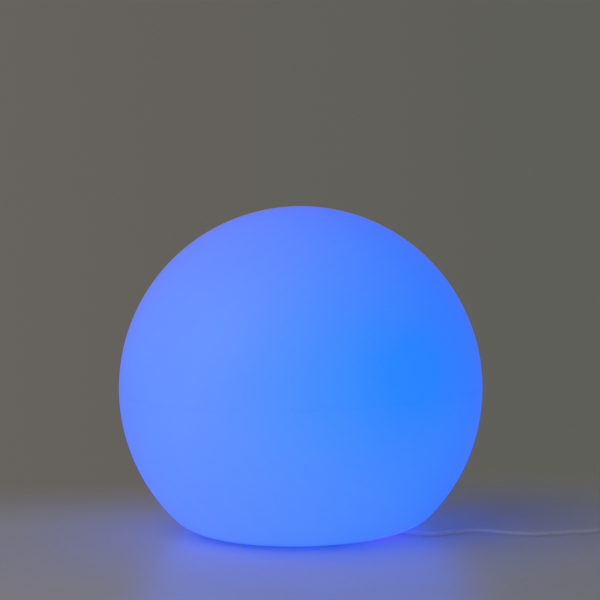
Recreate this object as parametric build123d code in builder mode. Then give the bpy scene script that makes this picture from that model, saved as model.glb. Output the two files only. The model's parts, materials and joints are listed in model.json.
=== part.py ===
from build123d import *
import math
import os

# Garden globe light: a translucent globe on a small flat base, lit from inside by a screw-in lamp
# on a lamp unit that twists out of the base, with a clear round lead, an in-line switch and a plug.
# Millimetres, +Z up. The origin is on the ground under the middle of the globe, the viewer stands
# at -Y and the lead leaves towards +X.

# ------------------------------------------------------------------ driving dimensions
# globe
globe_r = 250.0            # outer radius
wall = 4.0                 # moulded wall
base_z = 2.0               # underside of the flat base, held up by the feet
base_drop = 193.5          # from the globe's centre down to the flat base
base_corner_r = 65.0       # radius between the flat base and the sphere
bead_h = 0.35              # height of the parting line
recess_r = 98.0            # recess for the lamp unit
roof_z = 38.0              # underside of the recess roof
neck_r = 74.0              # hole that the lamp passes through
globe_z = base_z + base_drop

# cord channel under the base
cord_az = -26.0            # the way the lead leaves, from +X
channel_w = 8.0
channel_spring_z = 3.6     # the arch springs here, and its crown is 4 mm higher
channel_end_r = 172.0

# feet
foot_count = 4
foot_ring_r = 117.0
foot_r = 11.0
foot_az = 19.0
foot_stem_r = 2.97
foot_hole_r = 3.0

# bayonet frame and locking ring
frame_plate_t = 3.0
frame_gasket_t = 1.0
frame_out_r = 97.4
frame_wall_in_r = 84.6
frame_wall_out_r = 88.0
frame_wall_bottom_z = 22.0
lug_count = 3
frame_lug_in_r = 80.0
frame_lug_span = 45.0
frame_lug_az = 33.0
frame_screw_ring_r = 92.7
frame_screw_count = 6
frame_screw_az = 4.0
ring_in_r = 62.0
ring_out_r = 79.4
ring_lug_out_r = 84.2
ring_lug_span = 40.0
ring_bottom_z = 22.5
ring_lug_bottom_z = 25.3
ring_top_z = 28.3
grip_az = -56.0
grip_bottom_z = 8.0
grip_t = 5.0

# carrier plate and cord box
carrier_r = 79.0
carrier_z = 28.6
carrier_t = 3.0
box_len = 70.0
box_wid = 44.0
box_wall = 2.5
box_bottom_z = 5.0
cover_t = 2.4
post_x = 29.0
post_y = 16.0
post_r = 3.8
cord_in_z = 12.0           # height of the lead where it leaves the cord box
clamp_x = 18.0
clamp_screw_y = 10.0
clamp_t = 2.0

# lampholder
stem_r = 5.0
stem_bore_r = 3.6
stem_top_z = 64.0
nut_af = 17.0
nut_t = 4.0
holder_r = 20.5
holder_joint_z = 86.0
holder_top_z = 118.0
screw_shell_r = 13.4       # clear radius inside the screw shell
core_bottom_z = 80.0
core_top_z = 92.0

# lamp
lamp_tip_z = 94.0
lamp_thread_r = 13.1       # crest radius of the screw cap
thread_pitch = 3.629
lamp_neck_r = 14.0
lamp_body_r = 27.5
envelope_r = 31.0
envelope_z = 176.0
led_count = 12

# cord, in-line switch and plug
cord_d = 6.0
boot_len = 24.0
boot_root_r = 5.5
boot_tip_r = 4.0
boot_tip_at = 59.0         # distance of the boot's tip from the globe's axis
switch_x = 465.0
switch_y = 18.0
switch_len = 62.0
switch_wid = 27.0
switch_h = 16.0
switch_joint_z = 7.5
rocker_tilt = 11.0
coil_x = 506.5
coil_y = 113.0
coil_in_r = 24.5
coil_out_r = 42.5
coil_turns = 6.5
coil_mean_r = 33.5
plug_x = 542.5
plug_root_y = 45.0
plug_face_y = 8.0
plug_z = 6.85
pin_r = 2.0
pin_len = 19.0
pin_spacing = 18.6

os.makedirs("parts", exist_ok=True)

az = math.radians(cord_az)
U = (math.cos(az), math.sin(az))       # along the lead's way out
V = (-math.sin(az), math.cos(az))      # across it
cord_r = cord_d / 2


def plan(z):
    """Level plane whose x axis runs along the lead's way out."""
    return Plane(origin=(0, 0, z), x_dir=(U[0], U[1], 0), z_dir=(0, 0, 1))


def across(r, side=0.0):
    """Upright plane across the lead's way out, x sideways, y up."""
    return Plane(
        origin=(r * U[0] + side * V[0], r * U[1] + side * V[1], 0),
        x_dir=(V[0], V[1], 0),
        z_dir=(U[0], U[1], 0),
    )


def along():
    """Upright plane that holds the lead's way out, x along it, y up."""
    return Plane(origin=(0, 0, 0), x_dir=(U[0], U[1], 0), z_dir=(-V[0], -V[1], 0))


def at(a, b, z):
    """A point a along and b across the lead's way out, at height z."""
    return (a * U[0] + b * V[0], a * U[1] + b * V[1], z)


def spot(r, deg):
    return (r * math.cos(math.radians(deg)), r * math.sin(math.radians(deg)))


def sector(r_in, r_out, mid, span):
    """A piece of a flat ring, centred on an angle."""
    a0, a1 = mid - span / 2, mid + span / 2
    with BuildSketch() as piece:
        with BuildLine():
            CenterArc((0, 0), r_out, a0, span)
            Line(spot(r_out, a1), spot(r_in, a1))
            CenterArc((0, 0), r_in, a0, span)
            Line(spot(r_in, a0), spot(r_out, a0))
        make_face()
    return piece.sketch


def corner_radii(points):
    """Fillet radius of each corner of a cord's path, from its two runs and its turn."""
    v = [Vector(*p) for p in points]
    radii = []
    for a, b, c in zip(v, v[1:], v[2:]):
        one, two = b - a, c - b
        turn = math.radians(one.get_angle(two))
        radii.append(0.45 * min(one.length, two.length) / math.tan(turn / 2))
    return radii


# ------------------------------------------------------------------ globe shell
flat_r = math.sqrt((globe_r - base_corner_r) ** 2 - (base_drop - base_corner_r) ** 2)
corner_z = base_z + base_corner_r
meet = math.degrees(math.atan2(corner_z - globe_z, flat_r))

with BuildPart() as globe_cavity:
    with BuildSketch(Plane.XZ):
        with BuildLine():
            Polyline(
                (0, roof_z - 1),
                (neck_r, roof_z - 1),
                (neck_r, roof_z + wall),
                (recess_r + wall, roof_z + wall),
                (recess_r + wall, base_z + wall),
                (flat_r, base_z + wall),
            )
            CenterArc((flat_r, corner_z), base_corner_r - wall, -90, 90 + meet)
            CenterArc((0, globe_z), globe_r - wall, meet, 90 - meet)
            Line((0, globe_z + globe_r - wall), (0, roof_z - 1))
        make_face()
    revolve(axis=Axis.Z)
    # the arched wall over the cord channel stands in the cavity
    with BuildSketch(across(recess_r + 1)):
        with Locations((0, (channel_spring_z + base_z) / 2)):
            Rectangle(channel_w + 2 * wall, channel_spring_z - base_z)
        with Locations((0, channel_spring_z)):
            Circle(channel_w / 2 + wall)
    extrude(amount=channel_end_r - recess_r, mode=Mode.SUBTRACT)

with BuildPart() as globe_shell:
    with BuildSketch(Plane.XZ):
        with BuildLine():
            Polyline(
                (0, roof_z),
                (recess_r, roof_z),
                (recess_r, base_z),
                (flat_r, base_z),
            )
            CenterArc((flat_r, corner_z), base_corner_r, -90, 90 + meet)
            CenterArc((0, globe_z), globe_r, meet, 90 - meet)
            Line((0, globe_z + globe_r), (0, roof_z))
        make_face()
    revolve(axis=Axis.Z)
    # parting line of the two mould halves
    with BuildSketch(Plane.XZ):
        with BuildLine():
            Polyline(
                (globe_r - 1, globe_z - 1.8),
                (globe_r - 0.02, globe_z - 1.4),
                (globe_r + bead_h, globe_z - 0.5),
                (globe_r + bead_h, globe_z + 0.5),
                (globe_r - 0.02, globe_z + 1.4),
                (globe_r - 1, globe_z + 1.8),
                close=True,
            )
        make_face()
    revolve(axis=Axis.Z)
    add(globe_cavity.part, mode=Mode.SUBTRACT)
    # cord channel, open downwards
    with BuildSketch(across(recess_r - 8)):
        with Locations((0, channel_spring_z / 2 - 0.5)):
            Rectangle(channel_w, channel_spring_z + 1)
        with Locations((0, channel_spring_z)):
            Circle(channel_w / 2)
    extrude(amount=channel_end_r - recess_r + 16, mode=Mode.SUBTRACT)
    # holes for the frame's screws
    with BuildSketch(Plane.XY.offset(roof_z - 1)):
        with PolarLocations(frame_screw_ring_r, frame_screw_count, start_angle=frame_screw_az):
            Circle(2.0)
    extrude(amount=wall + 2, mode=Mode.SUBTRACT)
    # holes for the feet
    with BuildSketch(Plane.XY.offset(base_z - 1)):
        with PolarLocations(foot_ring_r, foot_count, start_angle=foot_az):
            Circle(foot_hole_r)
    extrude(amount=wall + 2, mode=Mode.SUBTRACT)
globe_shell.part.label = "globe_shell"
export_step(globe_shell.part, "parts/globe_shell.step")

# ------------------------------------------------------------------ feet
with BuildPart() as one_foot:
    with BuildSketch(Plane.XZ):
        with BuildLine():
            Polyline(
                (0, 0),
                (foot_r - 1.0, 0),
                (foot_r, 0.8),
                (foot_r, 1.5),
                (foot_r - 0.5, base_z),
                (foot_stem_r, base_z),
                (foot_stem_r, base_z + wall + 0.1),
                (foot_stem_r + 1.5, base_z + wall + 0.25),
                (foot_stem_r + 1.5, base_z + wall + 1.0),
                (foot_stem_r - 0.8, base_z + wall + 4.0),
                (0, base_z + wall + 4.0),
                close=True,
            )
        make_face()
    revolve(axis=Axis.Z)

with BuildPart() as rubber_feet:
    with PolarLocations(foot_ring_r, foot_count, start_angle=foot_az):
        add(one_foot.part)
rubber_feet.part.label = "rubber_feet"
export_step(rubber_feet.part, "parts/rubber_feet.step")

# ------------------------------------------------------------------ bayonet frame
gasket_z = roof_z - frame_gasket_t
plate_z = gasket_z - frame_plate_t

with BuildPart() as frame_gasket:
    with BuildSketch(Plane.XY.offset(gasket_z)):
        Circle(96.4)
        Circle(76.0, mode=Mode.SUBTRACT)
        with PolarLocations(frame_screw_ring_r, frame_screw_count, start_angle=frame_screw_az):
            Circle(2.4, mode=Mode.SUBTRACT)
    extrude(amount=frame_gasket_t)
frame_gasket.part.label = "frame_gasket"
export_step(frame_gasket.part, "parts/frame_gasket.step")

with BuildPart() as bayonet_frame:
    with BuildSketch(Plane.XY.offset(plate_z)):
        Circle(frame_out_r)
        Circle(neck_r, mode=Mode.SUBTRACT)
        with PolarLocations(frame_screw_ring_r, frame_screw_count, start_angle=frame_screw_az):
            Circle(2.15, mode=Mode.SUBTRACT)
    extrude(amount=frame_plate_t)
    with BuildSketch(Plane.XY.offset(frame_wall_bottom_z)):
        Circle(frame_wall_out_r)
        Circle(frame_wall_in_r, mode=Mode.SUBTRACT)
    extrude(amount=plate_z - frame_wall_bottom_z)
    # lugs that the locking ring turns over
    for k in range(lug_count):
        with BuildSketch(Plane.XY.offset(frame_wall_bottom_z)):
            add(sector(frame_lug_in_r, frame_wall_in_r + 1, frame_lug_az + 120 * k, frame_lug_span))
        extrude(amount=3.0)
    # stops beside the lugs
    for k in range(lug_count):
        with BuildSketch(Plane.XY.offset(frame_wall_bottom_z)):
            add(sector(frame_lug_in_r, frame_wall_in_r + 1, frame_lug_az + 120 * k + 24.0, 3.0))
        extrude(amount=7.5)
bayonet_frame.part.label = "bayonet_frame"
export_step(bayonet_frame.part, "parts/bayonet_frame.step")

with BuildPart() as one_frame_screw:
    with BuildSketch(Plane.XZ):
        with BuildLine():
            Polyline(
                (0, plate_z - 2.6),
                (2.2, plate_z - 2.6),
                (3.6, plate_z - 1.8),
                (3.9, plate_z - 0.6),
                (3.9, plate_z),
                (1.96, plate_z),
                (1.96, roof_z + 3.6),
                (1.2, roof_z + 5.5),
                (0, roof_z + 5.5),
                close=True,
            )
        make_face()
    revolve(axis=Axis.Z)
    with BuildSketch(Plane.XY.offset(plate_z - 2.6)):
        Rectangle(3.6, 0.8)
        Rectangle(0.8, 3.6)
    extrude(amount=1.4, mode=Mode.SUBTRACT)

with BuildPart() as frame_screws:
    with PolarLocations(frame_screw_ring_r, frame_screw_count, start_angle=frame_screw_az):
        add(one_frame_screw.part)
frame_screws.part.label = "frame_screws"
export_step(frame_screws.part, "parts/frame_screws.step")

# ------------------------------------------------------------------ locking ring
with BuildPart() as locking_ring:
    with BuildSketch(Plane.XZ):
        with BuildLine():
            Polyline(
                (ring_in_r, ring_bottom_z + 1),
                (ring_in_r + 1, ring_bottom_z),
                (ring_out_r - 1, ring_bottom_z),
                (ring_out_r, ring_bottom_z + 1),
                (ring_out_r, ring_top_z),
                (ring_out_r - 3.4, ring_top_z),
                (ring_out_r - 3.4, ring_top_z - 2.6),
                (ring_in_r + 3.4, ring_top_z - 2.6),
                (ring_in_r + 3.4, ring_top_z),
                (ring_in_r, ring_top_z),
                close=True,
            )
        make_face()
    revolve(axis=Axis.Z)
    for k in range(lug_count):
        with BuildSketch(Plane.XY.offset(ring_lug_bottom_z)):
            add(sector(ring_out_r - 1, ring_lug_out_r, frame_lug_az + 120 * k, ring_lug_span))
        extrude(amount=ring_top_z - ring_lug_bottom_z)
    # three grip tabs
    for k in range(3):
        tab = Plane(
            origin=(*spot((ring_in_r + ring_out_r) / 2, grip_az + 120 * k), 0),
            x_dir=(*spot(1, grip_az + 120 * k), 0),
            z_dir=(0, 0, 1),
        )
        with BuildSketch(tab.offset(grip_bottom_z)):
            RectangleRounded(ring_out_r - ring_in_r - 2.0, grip_t, 2.0)
        extrude(amount=ring_bottom_z - grip_bottom_z + 1.0)
locking_ring.part.label = "locking_ring"
export_step(locking_ring.part, "parts/locking_ring.step")

# ------------------------------------------------------------------ carrier plate with its cord box
posts = [(post_x, post_y), (-post_x, post_y), (post_x, -post_y), (-post_x, -post_y)]

with BuildPart() as carrier_plate:
    with BuildSketch(plan(carrier_z)):
        Circle(carrier_r)
    extrude(amount=carrier_t)
    with BuildSketch(plan(box_bottom_z)):
        RectangleRounded(box_len, box_wid, 6)
        RectangleRounded(box_len - 2 * box_wall, box_wid - 2 * box_wall, 3.5, mode=Mode.SUBTRACT)
    extrude(amount=carrier_z - box_bottom_z)
    # posts for the cover's screws
    with BuildSketch(plan(box_bottom_z)):
        with Locations(*posts):
            Circle(post_r)
    extrude(amount=carrier_z - box_bottom_z)
    # saddle that the clamp presses the lead against
    with BuildSketch(plan(cord_in_z + cord_r)):
        with Locations((clamp_x, 0)):
            Rectangle(8, 28)
    extrude(amount=carrier_z - cord_in_z - cord_r)
    # pilot holes of the cover's and the clamp's screws
    with BuildSketch(plan(box_bottom_z)):
        with Locations(*posts):
            Circle(1.52)
    extrude(amount=12, mode=Mode.SUBTRACT)
    with BuildSketch(plan(cord_in_z + cord_r)):
        with Locations((clamp_x, clamp_screw_y), (clamp_x, -clamp_screw_y)):
            Circle(1.52)
    extrude(amount=8, mode=Mode.SUBTRACT)
    # hole for the stem, and for the strain relief's neck
    with BuildSketch(plan(carrier_z - 1)):
        Circle(stem_r + 0.05)
    extrude(amount=carrier_t + 2, mode=Mode.SUBTRACT)
    with BuildSketch(across(box_len / 2 - box_wall - 1)):
        with Locations((0, cord_in_z)):
            Circle(4.6)
    extrude(amount=box_wall + 2, mode=Mode.SUBTRACT)
carrier_plate.part.label = "carrier_plate"
export_step(carrier_plate.part, "parts/carrier_plate.step")

with BuildPart() as carrier_gasket:
    with BuildSketch(Plane.XZ):
        with BuildLine():
            Polyline(
                (74.8, carrier_z + carrier_t),
                (78.4, carrier_z + carrier_t),
                (78.8, carrier_z + carrier_t + 0.8),
                (78.8, plate_z - 0.8),
                (78.4, plate_z),
                (74.8, plate_z),
                (74.4, plate_z - 0.8),
                (74.4, carrier_z + carrier_t + 0.8),
                close=True,
            )
        make_face()
    revolve(axis=Axis.Z)
carrier_gasket.part.label = "carrier_gasket"
export_step(carrier_gasket.part, "parts/carrier_gasket.step")

with BuildPart() as cord_cover:
    with BuildSketch(plan(box_bottom_z - cover_t)):
        RectangleRounded(box_len, box_wid, 6)
    extrude(amount=cover_t)
    chamfer(cord_cover.faces().sort_by(Axis.Z)[0].edges(), 0.7)
    with Locations(*[Plane(origin=at(x, y, box_bottom_z - cover_t), z_dir=(0, 0, -1)) for x, y in posts]):
        CounterSinkHole(radius=1.7, counter_sink_radius=3.1, depth=cover_t)
cord_cover.part.label = "cord_cover"
export_step(cord_cover.part, "parts/cord_cover.step")

with BuildPart() as one_cover_screw:
    cz = box_bottom_z - cover_t
    with BuildSketch(Plane.XZ):
        with BuildLine():
            Polyline(
                (0, cz + 0.05),
                (2.95, cz + 0.05),
                (1.5, cz + 1.5),
                (1.5, cz + 12.0),
                (0.8, cz + 13.2),
                (0, cz + 13.2),
                close=True,
            )
        make_face()
    revolve(axis=Axis.Z)
    with BuildSketch(Plane.XY.offset(cz)):
        Rectangle(2.8, 0.7)
        Rectangle(0.7, 2.8)
    extrude(amount=0.9, mode=Mode.SUBTRACT)

with BuildPart() as cover_screws:
    with Locations(*[at(x, y, 0) for x, y in posts]):
        add(one_cover_screw.part)
cover_screws.part.label = "cover_screws"
export_step(cover_screws.part, "parts/cover_screws.step")

with BuildPart() as cord_clamp:
    with BuildSketch(plan(cord_in_z - cord_r - clamp_t)):
        with Locations((clamp_x, 0)):
            RectangleRounded(7.5, 28, 1.5)
        with Locations((clamp_x, clamp_screw_y), (clamp_x, -clamp_screw_y)):
            Circle(1.7, mode=Mode.SUBTRACT)
    extrude(amount=clamp_t)
cord_clamp.part.label = "cord_clamp"
export_step(cord_clamp.part, "parts/cord_clamp.step")

with BuildPart() as one_clamp_screw:
    sz = cord_in_z - cord_r - clamp_t
    with BuildSketch(Plane.XZ):
        with BuildLine():
            Polyline(
                (0, sz - 1.8),
                (1.8, sz - 1.8),
                (2.8, sz - 1.1),
                (2.8, sz),
                (1.5, sz),
                (1.5, sz + 14.5),
                (0, sz + 15.5),
                close=True,
            )
        make_face()
    revolve(axis=Axis.Z)
    with BuildSketch(Plane.XY.offset(sz - 1.8)):
        Rectangle(2.6, 0.7)
        Rectangle(0.7, 2.6)
    extrude(amount=0.9, mode=Mode.SUBTRACT)

with BuildPart() as clamp_screws:
    with Locations(at(clamp_x, clamp_screw_y, 0), at(clamp_x, -clamp_screw_y, 0)):
        add(one_clamp_screw.part)
clamp_screws.part.label = "clamp_screws"
export_step(clamp_screws.part, "parts/clamp_screws.step")

# tapered boot: a flange inside the box wall, a neck through it and a ribbed taper outside
boot_root_at = boot_tip_at - boot_len
with BuildPart() as strain_relief:
    with BuildSketch(along()):
        with BuildLine():
            outer = [
                (box_len / 2 - box_wall - 1.8, 6.2),
                (box_len / 2 - box_wall, 6.2),
                (box_len / 2 - box_wall, 4.55),
                (boot_root_at, 4.55),
                (boot_root_at, boot_root_r),
            ]
            ribs = 4
            rib_from, rib_to = boot_root_at + 3.0, boot_tip_at - 3.0
            step = (rib_to - rib_from) / ribs
            for k in range(ribs):
                x0 = rib_from + k * step
                full = boot_root_r + (boot_tip_r - boot_root_r) * (x0 - boot_root_at) / boot_len
                last = boot_root_r + (boot_tip_r - boot_root_r) * (x0 + 2 - boot_root_at) / boot_len
                outer += [(x0, full), (x0 + 0.3, full - 0.7), (x0 + 1.7, last - 0.7), (x0 + 2.0, last)]
            outer += [(boot_tip_at - 0.5, boot_tip_r), (boot_tip_at, boot_tip_r - 0.4)]
            outer = [(x, cord_in_z + y) for x, y in outer]
            outer.append((boot_tip_at, cord_in_z + cord_r))
            outer.append((box_len / 2 - box_wall - 1.8, cord_in_z + cord_r))
            Polyline(*outer, close=True)
        make_face()
    revolve(axis=Axis(origin=(0, 0, cord_in_z), direction=(U[0], U[1], 0)))
strain_relief.part.label = "strain_relief"
export_step(strain_relief.part, "parts/strain_relief.step")

# ------------------------------------------------------------------ stem and lampholder
with BuildPart() as stem_tube:
    with BuildSketch(Plane.XY.offset(22.0)):
        Circle(stem_r)
        Circle(stem_bore_r, mode=Mode.SUBTRACT)
    extrude(amount=stem_top_z - 22.0)
    chamfer(stem_tube.edges().filter_by(GeomType.CIRCLE).sort_by(SortBy.RADIUS)[-2:], 0.5)
stem_tube.part.label = "stem_tube"
export_step(stem_tube.part, "parts/stem_tube.step")

with BuildPart() as stem_nuts:
    for nz in (carrier_z - nut_t, carrier_z + carrier_t):
        with BuildSketch(plan(nz)):
            RegularPolygon(radius=nut_af / 2, side_count=6, major_radius=False)
            Circle(stem_r + 0.02, mode=Mode.SUBTRACT)
        extrude(amount=nut_t)
stem_nuts.part.label = "stem_nuts"
export_step(stem_nuts.part, "parts/stem_nuts.step")

with BuildPart() as holder_cap:
    with BuildSketch(Plane.XZ):
        with BuildLine():
            Polyline(
                (stem_r + 0.02, 56),
                (9.0, 56),
                (9.6, 56.6),
                (9.6, 63),
                (17.5, 68.5),
                (20.0, 72.5),
                (holder_r, 77),
                (holder_r, holder_joint_z),
                (18.2, holder_joint_z),
                (18.2, 76),
                (16.6, 70.8),
                (9.0, 65.6),
                (stem_r + 0.02, 65.6),
                close=True,
            )
        make_face()
    revolve(axis=Axis.Z)
holder_cap.part.label = "holder_cap"
export_step(holder_cap.part, "parts/holder_cap.step")

terminals = [(0.0, 10.0), (0.0, -10.0)]
with BuildPart() as holder_core:
    with BuildSketch(plan(core_bottom_z)):
        Circle(17.6)
        with Locations(*terminals):
            Circle(1.62, mode=Mode.SUBTRACT)
    extrude(amount=core_top_z - core_bottom_z)
    fillet(holder_core.edges().filter_by(GeomType.CIRCLE).sort_by(SortBy.RADIUS)[-2:], 0.8)
holder_core.part.label = "holder_core"
export_step(holder_core.part, "parts/holder_core.step")

with BuildPart() as holder_skirt:
    with BuildSketch(Plane.XZ):
        with BuildLine():
            Polyline(
                (18.2, holder_joint_z),
                (holder_r, holder_joint_z),
                (holder_r, 88),
                (19.6, 89),
                (19.6, 96),
                (holder_r, 97),
                (holder_r, holder_top_z - 2),
                (holder_r - 2, holder_top_z),
                (14.8, holder_top_z),
                (14.8, holder_top_z - 2.2),
                (17.8, holder_top_z - 4.0),
                (17.8, 94),
                (18.2, 93),
                close=True,
            )
        make_face()
    revolve(axis=Axis.Z)
holder_skirt.part.label = "holder_skirt"
export_step(holder_skirt.part, "parts/holder_skirt.step")

with BuildPart() as screw_shell:
    with BuildSketch(Plane.XZ):
        with BuildLine():
            Polyline(
                (8.0, core_top_z),
                (screw_shell_r + 0.6, core_top_z),
                (screw_shell_r + 0.6, 113.5),
                (screw_shell_r + 1.4, 115.2),
                (screw_shell_r + 0.8, 115.5),
                (screw_shell_r, 113.8),
                (screw_shell_r, core_top_z + 0.6),
                (8.0, core_top_z + 0.6),
                close=True,
            )
        make_face()
    revolve(axis=Axis.Z)
screw_shell.part.label = "screw_shell"
export_step(screw_shell.part, "parts/screw_shell.step")

with BuildPart() as centre_contact:
    with BuildSketch(plan(core_top_z)):
        RectangleRounded(9.0, 5.0, 1.0)
    extrude(amount=0.5)
    with BuildSketch(plan(core_top_z + 0.5)):
        with Locations((1.0, 0)):
            RectangleRounded(6.0, 4.0, 1.0)
    extrude(amount=lamp_tip_z - 0.1 - core_top_z - 0.5)
centre_contact.part.label = "centre_contact"
export_step(centre_contact.part, "parts/centre_contact.step")

with BuildPart() as terminal_screws:
    for tx, ty in terminals:
        with BuildSketch(plan(core_bottom_z - 2.4)):
            with Locations((tx, ty)):
                Circle(2.9)
        extrude(amount=2.4)
        with BuildSketch(plan(core_bottom_z)):
            with Locations((tx, ty)):
                Circle(1.6)
        extrude(amount=8.0)
terminal_screws.part.label = "terminal_screws"
export_step(terminal_screws.part, "parts/terminal_screws.step")

# insulated wires from the clamped end of the lead, up the stem, to the terminals
wire_end_a = 12.0
with BuildPart() as live_wire:
    with BuildLine() as live_path:
        FilletPolyline(
            at(wire_end_a, 1.5, cord_in_z),
            at(0, 1.5, cord_in_z),
            at(0, 1.5, 68.0),
            at(0, 10.0, 71.5),
            at(0, 10.0, core_bottom_z - 2.4),
            radius=[6.0, 4.0, 2.4],
        )
    with BuildSketch(Plane(origin=live_path.line @ 0, z_dir=live_path.line % 0)):
        Circle(1.1)
    sweep(path=live_path.line)
live_wire.part.label = "live_wire"
export_step(live_wire.part, "parts/live_wire.step")

with BuildPart() as neutral_wire:
    with BuildLine() as neutral_path:
        FilletPolyline(
            at(wire_end_a, -1.5, cord_in_z),
            at(0, -1.5, cord_in_z),
            at(0, -1.5, 68.0),
            at(0, -10.0, 71.5),
            at(0, -10.0, core_bottom_z - 2.4),
            radius=[6.0, 4.0, 2.4],
        )
    with BuildSketch(Plane(origin=neutral_path.line @ 0, z_dir=neutral_path.line % 0)):
        Circle(1.1)
    sweep(path=neutral_path.line)
neutral_wire.part.label = "neutral_wire"
export_step(neutral_wire.part, "parts/neutral_wire.step")

# ------------------------------------------------------------------ lamp
with BuildPart() as bulb_seal_ring:
    with BuildSketch(Plane.XZ):
        with BuildLine():
            Polyline(
                (lamp_neck_r + 0.05, holder_top_z + 0.3),
                (17.4, holder_top_z + 0.3),
                (18.0, holder_top_z + 1.0),
                (17.2, holder_top_z + 2.6),
                (15.4, holder_top_z + 3.2),
                (lamp_neck_r + 0.05, holder_top_z + 3.2),
                close=True,
            )
        make_face()
    revolve(axis=Axis.Z)
bulb_seal_ring.part.label = "bulb_seal_ring"
export_step(bulb_seal_ring.part, "parts/bulb_seal_ring.step")

with BuildPart() as bulb_tip:
    with BuildSketch(Plane.XZ):
        with BuildLine():
            Polyline(
                (0, lamp_tip_z),
                (3.2, lamp_tip_z),
                (4.6, lamp_tip_z + 0.6),
                (4.8, lamp_tip_z + 1.2),
                (0, lamp_tip_z + 1.2),
                close=True,
            )
        make_face()
    revolve(axis=Axis.Z)
bulb_tip.part.label = "bulb_tip"
export_step(bulb_tip.part, "parts/bulb_tip.step")

insulator_top_z = lamp_tip_z + 4.4
with BuildPart() as bulb_insulator:
    with BuildSketch(Plane.XZ):
        with BuildLine():
            Polyline(
                (0, lamp_tip_z + 1.2),
                (5.4, lamp_tip_z + 1.2),
                (8.4, lamp_tip_z + 2.2),
                (11.4, insulator_top_z),
                (0, insulator_top_z),
                close=True,
            )
        make_face()
    revolve(axis=Axis.Z)
bulb_insulator.part.label = "bulb_insulator"
export_step(bulb_insulator.part, "parts/bulb_insulator.step")

cap_top_z = 116.5
with BuildPart() as bulb_cap:
    with BuildSketch(Plane.XZ):
        with BuildLine():
            Polyline(
                (11.4, insulator_top_z),
                (12.3, insulator_top_z + 0.9),
                (12.3, cap_top_z),
                (11.4, cap_top_z),
                close=True,
            )
        make_face()
        crests = [(lamp_thread_r - 0.95, insulator_top_z + 2.6 + thread_pitch * k) for k in range(4)]
        with Locations(*crests):
            Circle(0.95)
        with Locations((10.4, (insulator_top_z + cap_top_z) / 2)):
            Rectangle(2.0, cap_top_z - insulator_top_z, mode=Mode.SUBTRACT)
    revolve(axis=Axis.Z)
bulb_cap.part.label = "bulb_cap"
export_step(bulb_cap.part, "parts/bulb_cap.step")

body_top_z = 162.0
with BuildPart() as bulb_housing:
    with BuildSketch(Plane.XZ):
        with BuildLine():
            Polyline((11.5, cap_top_z), (13.4, cap_top_z), (lamp_neck_r, 117.4), (lamp_neck_r, 123.5))
            Spline(
                (lamp_neck_r, 123.5),
                (18.5, 136.0),
                (24.5, 150.0),
                (lamp_body_r, body_top_z),
                tangents=((0, 1), (0.12, 1)),
            )
            Polyline(
                (lamp_body_r, body_top_z),
                (25.6, body_top_z),
                (25.0, 157.0),
                (22.6, 150.5),
                (16.6, 137.0),
                (11.5, 124.5),
                (11.5, cap_top_z),
            )
        make_face()
    revolve(axis=Axis.Z)
bulb_housing.part.label = "bulb_housing"
export_step(bulb_housing.part, "parts/bulb_housing.step")

board_z = 158.0
with BuildPart() as bulb_board:
    with BuildSketch(Plane.XY.offset(board_z)):
        Circle(24.8)
    extrude(amount=1.6)
bulb_board.part.label = "bulb_board"
export_step(bulb_board.part, "parts/bulb_board.step")

with BuildPart() as bulb_leds:
    with BuildSketch(Plane.XY.offset(board_z + 1.6)):
        with PolarLocations(17.0, led_count):
            Rectangle(3.5, 2.8)
    extrude(amount=0.8)
bulb_leds.part.label = "bulb_leds"
export_step(bulb_leds.part, "parts/bulb_leds.step")

with BuildPart() as bulb_driver:
    # circuit board on edge, with its capacitor and transformer
    with BuildSketch(Plane.XY.offset(127.0)):
        Rectangle(18.0, 1.6)
    extrude(amount=board_z - 127.0)
    with BuildSketch(Plane.XY.offset(131.0)):
        with Locations((2.0, 4.2)):
            Circle(3.6)
    extrude(amount=12.0)
    with BuildSketch(Plane.XY.offset(140.0)):
        with Locations((-1.0, -4.9)):
            Rectangle(11.0, 8.4)
    extrude(amount=10.0)
bulb_driver.part.label = "bulb_driver"
export_step(bulb_driver.part, "parts/bulb_driver.step")

with BuildPart() as bulb_envelope:
    rim_in = math.sqrt((envelope_r - 1.4) ** 2 - (envelope_z - body_top_z) ** 2)
    rim_out = math.sqrt(envelope_r ** 2 - (envelope_z - body_top_z) ** 2)
    out_a = math.degrees(math.atan2(body_top_z - envelope_z, rim_out))
    in_a = math.degrees(math.atan2(body_top_z - envelope_z, rim_in))
    with BuildSketch(Plane.XZ):
        with BuildLine():
            Line((rim_in, body_top_z), (rim_out, body_top_z))
            CenterArc((0, envelope_z), envelope_r, out_a, 90 - out_a)
            Line((0, envelope_z + envelope_r), (0, envelope_z + envelope_r - 1.4))
            CenterArc((0, envelope_z), envelope_r - 1.4, in_a, 90 - in_a)
        make_face()
    revolve(axis=Axis.Z)
bulb_envelope.part.label = "bulb_envelope"
export_step(bulb_envelope.part, "parts/bulb_envelope.step")

# ------------------------------------------------------------------ cord
# the stretch inside the boot and the clamp
with BuildPart() as cord_inner:
    with BuildSketch(across(wire_end_a)):
        with Locations((0, cord_in_z)):
            Circle(cord_r - 0.02)
    extrude(amount=boot_tip_at - wire_end_a)
cord_inner.part.label = "cord_inner"
export_step(cord_inner.part, "parts/cord_inner.step")

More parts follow.
